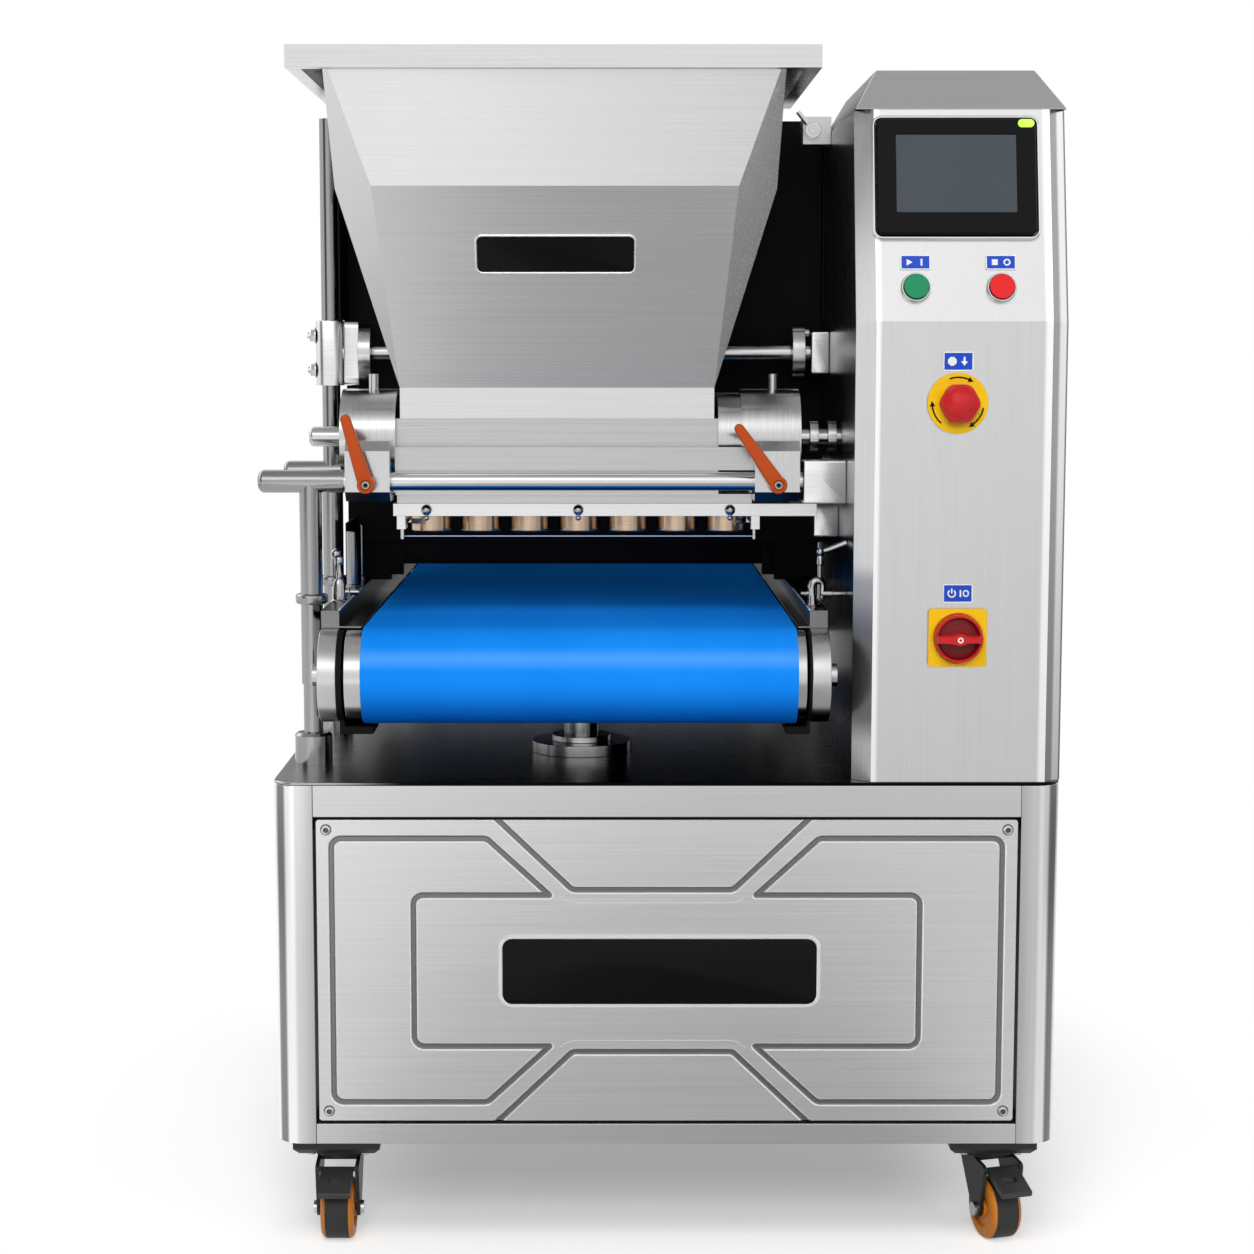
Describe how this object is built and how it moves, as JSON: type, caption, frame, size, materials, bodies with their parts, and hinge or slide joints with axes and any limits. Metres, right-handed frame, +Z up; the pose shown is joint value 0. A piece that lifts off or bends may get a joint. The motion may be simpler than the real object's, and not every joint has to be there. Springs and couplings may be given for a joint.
{
  "type": "cookie depositor",
  "caption": "Stainless cookie depositor: hopper and fluted feed rollers over a lifting belt conveyor, with a control console on a cabinet with braked castors.",
  "frame": {"origin": "on the floor under the middle of the base cabinet", "axes": "+Z up, +X to the operator's right, +Y away from the operator"},
  "size_m": [0.817, 1.2774, 1.217],
  "materials": {
    "satin_steel": "brushed satin stainless steel",
    "polished_steel": "polished stainless steel",
    "deck_steel": "dark reflecting stainless steel",
    "roller_alloy": "turned aluminium",
    "nozzle_brass": "turned bronze-coloured metal",
    "belt_blue": "matte food belt",
    "lever_orange": "satin moulded plastic",
    "black_gloss": "gloss black",
    "black_paint": "matte black paint",
    "castor_grey": "dark grey paint",
    "castor_wheel": "amber wheel with a black tread",
    "display_grey": "dark display",
    "start_green": "gloss green",
    "stop_red": "gloss red",
    "lamp_green": "lit green lens",
    "control_yellow": "gloss yellow",
    "label_blue": "gloss blue"
  },
  "bodies": {
    "machine": {"base_posts": "satin_steel", "base_rails": "satin_steel", "deck_plate": "deck_steel", "base_side_panels": "satin_steel", "base_rear_panel": "satin_steel", "front_panel": "satin_steel", "screws": "polished_steel", "badge_plates": "black_gloss", "castor_pads": "castor_grey", "console_body": "satin_steel", "console_cap": "satin_steel", "console_rear_cover": "satin_steel", "screen_bezel": "black_gloss", "screen_glass": "display_grey", "status_lamp": "lamp_green", "button_bezels": "polished_steel", "control_backplates": "control_yellow", "label_plates": "label_blue", "lift_jacks": "satin_steel", "hopper": "satin_steel", "pump_body": "satin_steel", "end_housing_left": "satin_steel", "end_housing_right": "satin_steel", "nozzle_bar": "satin_steel", "nozzles": "nozzle_brass", "feed_motor": "castor_grey", "cross_rails": "polished_steel", "guide_posts": "polished_steel", "bearing_brackets": "satin_steel", "rear_shield": "black_paint", "hopper_switch": "satin_steel"},
    "conveyor": {"conveyor_frame": "satin_steel", "side_guides": "satin_steel", "belt": "belt_blue", "conveyor_bed": "satin_steel", "lift_rams": "polished_steel"},
    "front_roller": {"front_roller": "roller_alloy"},
    "rear_roller": {"rear_roller": "roller_alloy"},
    "feed_roller_front": {"feed_roller_front": "satin_steel"},
    "feed_roller_rear": {"feed_roller_rear": "satin_steel"},
    "crank_shaft": {"crank_shaft": "polished_steel"},
    "clamp_lever_left": {"clamp_lever_left": "lever_orange"},
    "clamp_lever_right": {"clamp_lever_right": "lever_orange"},
    "start_button": {"start_button": "start_green"},
    "stop_button": {"stop_button": "stop_red"},
    "estop_stem": {"estop_stem": "stop_red"},
    "estop_head": {"estop_head": "stop_red"},
    "switch_knob": {"switch_knob": "stop_red"},
    "wire_cutter": {"wire_cutter": "satin_steel"},
    "switch_arm": {"switch_arm": "satin_steel"},
    "castor_fork_front_left": {"castor_fork_front_left": "castor_grey"},
    "castor_wheel_front_left": {"castor_wheel_front_left": "castor_wheel"},
    "castor_fork_front_right": {"castor_fork_front_right": "castor_grey"},
    "castor_wheel_front_right": {"castor_wheel_front_right": "castor_wheel"},
    "castor_fork_rear_left": {"castor_fork_rear_left": "castor_grey"},
    "castor_wheel_rear_left": {"castor_wheel_rear_left": "castor_wheel"},
    "castor_fork_rear_right": {"castor_fork_rear_right": "castor_grey"},
    "castor_wheel_rear_right": {"castor_wheel_rear_right": "castor_wheel"},
    "castor_brake_front_left": {"castor_brake_front_left": "castor_grey"},
    "castor_brake_front_right": {"castor_brake_front_right": "castor_grey"}
  },
  "joints": [
    {"name": "front_left_swivel", "type": "hinge", "parent": "machine", "child": "castor_fork_front_left", "pos_m": [-0.34, -0.363, 0.095], "axis": [0, 0, 1], "continuous": true},
    {"name": "front_left_roll", "type": "hinge", "parent": "castor_fork_front_left", "child": "castor_wheel_front_left", "pos_m": [-0.34, -0.385, 0.032], "axis": [1, 0, 0], "continuous": true},
    {"name": "front_left_brake", "type": "hinge", "parent": "castor_fork_front_left", "child": "castor_brake_front_left", "pos_m": [-0.34, -0.398, 0.077], "axis": [1, 0, 0], "range_deg": [0, 12]},
    {"name": "front_right_swivel", "type": "hinge", "parent": "machine", "child": "castor_fork_front_right", "pos_m": [0.34, -0.363, 0.095], "axis": [0, 0, 1], "continuous": true},
    {"name": "front_right_roll", "type": "hinge", "parent": "castor_fork_front_right", "child": "castor_wheel_front_right", "pos_m": [0.34643, -0.38404, 0.032], "axis": [0.9563, 0.2924, 0], "continuous": true},
    {"name": "front_right_brake", "type": "hinge", "parent": "castor_fork_front_right", "child": "castor_brake_front_right", "pos_m": [0.35023, -0.39647, 0.077], "axis": [0.9563, 0.2924, 0], "range_deg": [0, 12]},
    {"name": "rear_left_swivel", "type": "hinge", "parent": "machine", "child": "castor_fork_rear_left", "pos_m": [-0.34, 0.363, 0.095], "axis": [0, 0, 1], "continuous": true},
    {"name": "rear_left_roll", "type": "hinge", "parent": "castor_fork_rear_left", "child": "castor_wheel_rear_left", "pos_m": [-0.34, 0.341, 0.032], "axis": [1, 0, 0], "continuous": true},
    {"name": "rear_right_swivel", "type": "hinge", "parent": "machine", "child": "castor_fork_rear_right", "pos_m": [0.34, 0.363, 0.095], "axis": [0, 0, 1], "continuous": true},
    {"name": "rear_right_roll", "type": "hinge", "parent": "castor_fork_rear_right", "child": "castor_wheel_rear_right", "pos_m": [0.34, 0.341, 0.032], "axis": [1, 0, 0], "continuous": true},
    {"name": "conveyor_lift", "type": "slide", "parent": "machine", "child": "conveyor", "axis": [0, 0, 1], "range_m": [-0.008, 0.04]},
    {"name": "front_roller_turn", "type": "hinge", "parent": "conveyor", "child": "front_roller", "pos_m": [-0.0875, -0.405, 0.596], "axis": [1, 0, 0], "continuous": true},
    {"name": "rear_roller_turn", "type": "hinge", "parent": "conveyor", "child": "rear_roller", "pos_m": [-0.0875, 0.755, 0.596], "axis": [1, 0, 0], "continuous": true},
    {"name": "front_feed_turn", "type": "hinge", "parent": "machine", "child": "feed_roller_front", "pos_m": [-0.112, -0.2675, 0.832], "axis": [1, 0, 0], "continuous": true},
    {"name": "rear_feed_turn", "type": "hinge", "parent": "machine", "child": "feed_roller_rear", "pos_m": [-0.112, -0.2205, 0.832], "axis": [1, 0, 0], "continuous": true},
    {"name": "crank_turn", "type": "hinge", "parent": "machine", "child": "crank_shaft", "pos_m": [-0.112, -0.12, 0.92], "axis": [1, 0, 0], "continuous": true},
    {"name": "clamp_left", "type": "hinge", "parent": "machine", "child": "clamp_lever_left", "pos_m": [-0.306, -0.352, 0.786], "axis": [0, 1, 0], "range_deg": [-90, 90]},
    {"name": "clamp_right", "type": "hinge", "parent": "machine", "child": "clamp_lever_right", "pos_m": [0.115, -0.352, 0.786], "axis": [0, 1, 0], "range_deg": [-90, 90]},
    {"name": "cutter_stroke", "type": "slide", "parent": "machine", "child": "wire_cutter", "axis": [0, 1, 0], "range_m": [0, 0.072]},
    {"name": "start_press", "type": "slide", "parent": "machine", "child": "start_button", "axis": [0, 0.9756, -0.2194], "range_m": [0, 0.003], "stiffness_N_per_m": 400, "springref_m": -0.002},
    {"name": "stop_press", "type": "slide", "parent": "machine", "child": "stop_button", "axis": [0, 0.9756, -0.2194], "range_m": [0, 0.003], "stiffness_N_per_m": 400, "springref_m": -0.002},
    {"name": "estop_press", "type": "slide", "parent": "machine", "child": "estop_stem", "axis": [0, 1, 0], "range_m": [0, 0.004]},
    {"name": "estop_release", "type": "hinge", "parent": "estop_stem", "child": "estop_head", "pos_m": [0.285, -0.46, 0.871], "axis": [0, 1, 0], "range_deg": [0, 45]},
    {"name": "main_switch", "type": "hinge", "parent": "machine", "child": "switch_knob", "pos_m": [0.288, -0.455, 0.639], "axis": [0, 1, 0], "range_deg": [0, 90]},
    {"name": "hopper_switch_trip", "type": "hinge", "parent": "machine", "child": "switch_arm", "pos_m": [0.1656, -0.137, 1.162], "axis": [0, 1, 0], "range_deg": [-15, 15], "stiffness_Nm_per_rad": 0.2}
  ],
  "couplings": [
    {"joint": "rear_roller_turn", "follows": "front_roller_turn", "ratio": 1},
    {"joint": "rear_feed_turn", "follows": "front_feed_turn", "ratio": -1}
  ]
}
